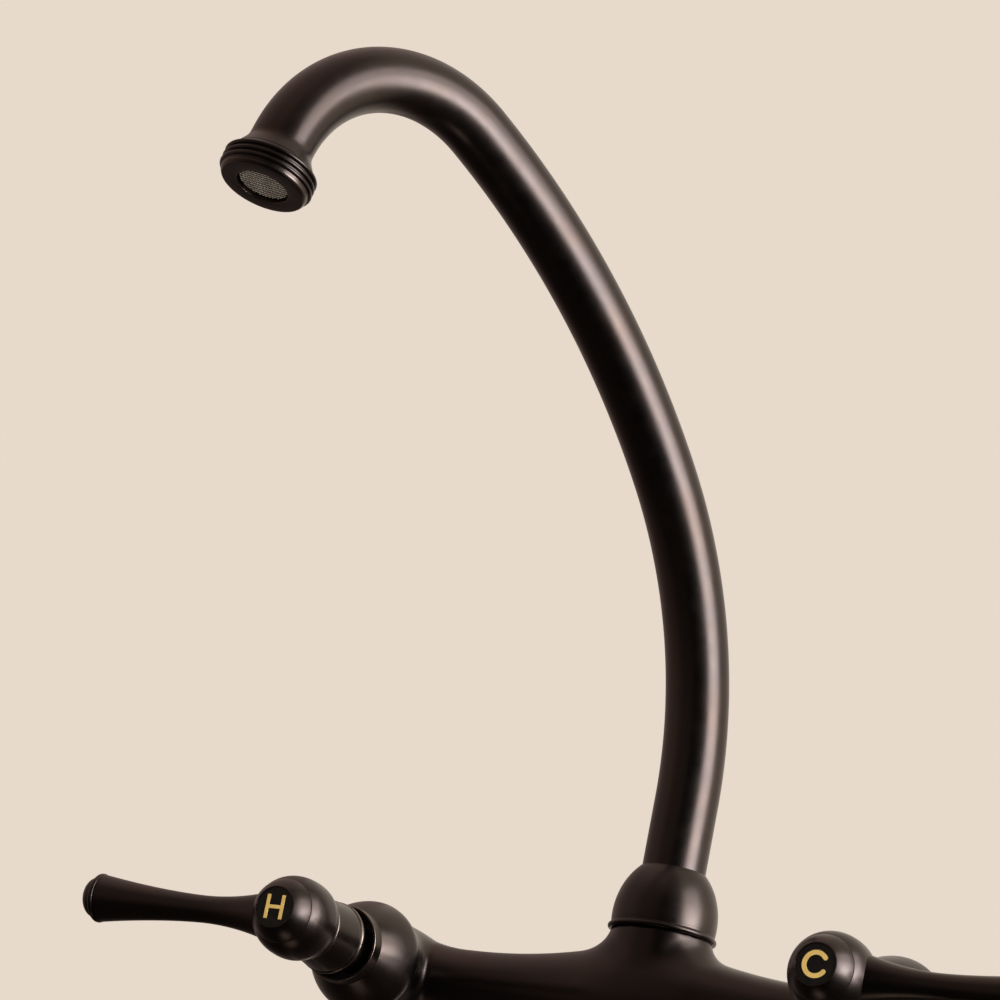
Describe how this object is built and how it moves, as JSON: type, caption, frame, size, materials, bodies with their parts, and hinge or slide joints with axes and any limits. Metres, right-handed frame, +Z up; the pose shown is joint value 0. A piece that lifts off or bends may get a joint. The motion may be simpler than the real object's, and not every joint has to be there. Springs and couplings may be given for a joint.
{
  "type": "wall-mounted laundry faucet",
  "caption": "Wall-mounted bridge faucet with lever valves for hot and cold water and a high curved spout that swings; dark bronze finish.",
  "frame": {"origin": "on the wall's face, midway between the hot and cold inlets", "axes": "+Z up, -Y out of the wall towards the user, +X towards the cold (right-hand) inlet"},
  "size_m": [0.3762, 0.3129, 0.3226],
  "materials": {
    "bronze": "oil-rubbed bronze plating on brass, satin, nearly black",
    "bronze_cast": "oil-rubbed bronze plating on cast brass, satin, nearly black",
    "bare_brass": "machined brass, unplated",
    "black_nut": "blackened brass",
    "black_index": "black enamel",
    "gold_letter": "bright gold",
    "black_rubber": "matt",
    "white_plastic": "moulded",
    "black_plastic": "moulded",
    "ceramic": "lapped ceramic",
    "steel": "stainless, machined",
    "steel_mesh": "stainless wire mesh"
  },
  "bodies": {
    "bridge": {"bridge_body": "bronze_cast", "spout_nut": "bronze", "slip_washers": "white_plastic", "hot_wall_flange": "bronze", "hot_tailpiece": "bare_brass", "hot_union_nut": "bronze", "hot_union_washer": "black_rubber", "hot_cartridge_body": "bare_brass", "hot_seat_seal": "black_rubber", "hot_fixed_disc": "ceramic", "hot_bonnet_nut": "black_nut", "hot_valve_dome": "bronze", "cold_wall_flange": "bronze", "cold_tailpiece": "bare_brass", "cold_union_nut": "bronze", "cold_union_washer": "black_rubber", "cold_cartridge_body": "bare_brass", "cold_seat_seal": "black_rubber", "cold_fixed_disc": "ceramic", "cold_bonnet_nut": "black_nut", "cold_valve_dome": "bronze"},
    "spout": {"spout_tube": "bronze", "spout_ferrule": "bare_brass", "spout_o_rings": "black_rubber", "nozzle_collar": "bronze", "aerator_housing": "bronze", "aerator_washer": "black_rubber", "aerator_insert": "black_plastic", "aerator_screen": "steel_mesh"},
    "hot_handle": {"hot_stem": "bare_brass", "hot_moving_disc": "ceramic", "hot_stem_o_ring": "black_rubber", "hot_handle_skirt": "bronze", "hot_handle_hub": "bronze", "hot_handle_screw": "steel", "hot_lever": "bronze", "hot_lever_tip": "bronze", "hot_index_cap": "bronze", "hot_index_disc": "black_index", "hot_index_letter": "gold_letter"},
    "cold_handle": {"cold_stem": "bare_brass", "cold_moving_disc": "ceramic", "cold_stem_o_ring": "black_rubber", "cold_handle_skirt": "bronze", "cold_handle_hub": "bronze", "cold_handle_screw": "steel", "cold_lever": "bronze", "cold_lever_tip": "bronze", "cold_index_cap": "bronze", "cold_index_disc": "black_index", "cold_index_letter": "gold_letter"}
  },
  "joints": [
    {"name": "spout_swivel", "type": "hinge", "parent": "bridge", "child": "spout", "pos_m": [0, -0.076, 0.04], "axis": [0, 0, 1], "range_deg": [-63, 117]},
    {"name": "hot_handle_turn", "type": "hinge", "parent": "bridge", "child": "hot_handle", "pos_m": [-0.1016, -0.1587, 0], "axis": [0, -1, 0], "range_deg": [0, 90]},
    {"name": "cold_handle_turn", "type": "hinge", "parent": "bridge", "child": "cold_handle", "pos_m": [0.1016, -0.1587, 0], "axis": [0, 1, 0], "range_deg": [0, 90]}
  ]
}
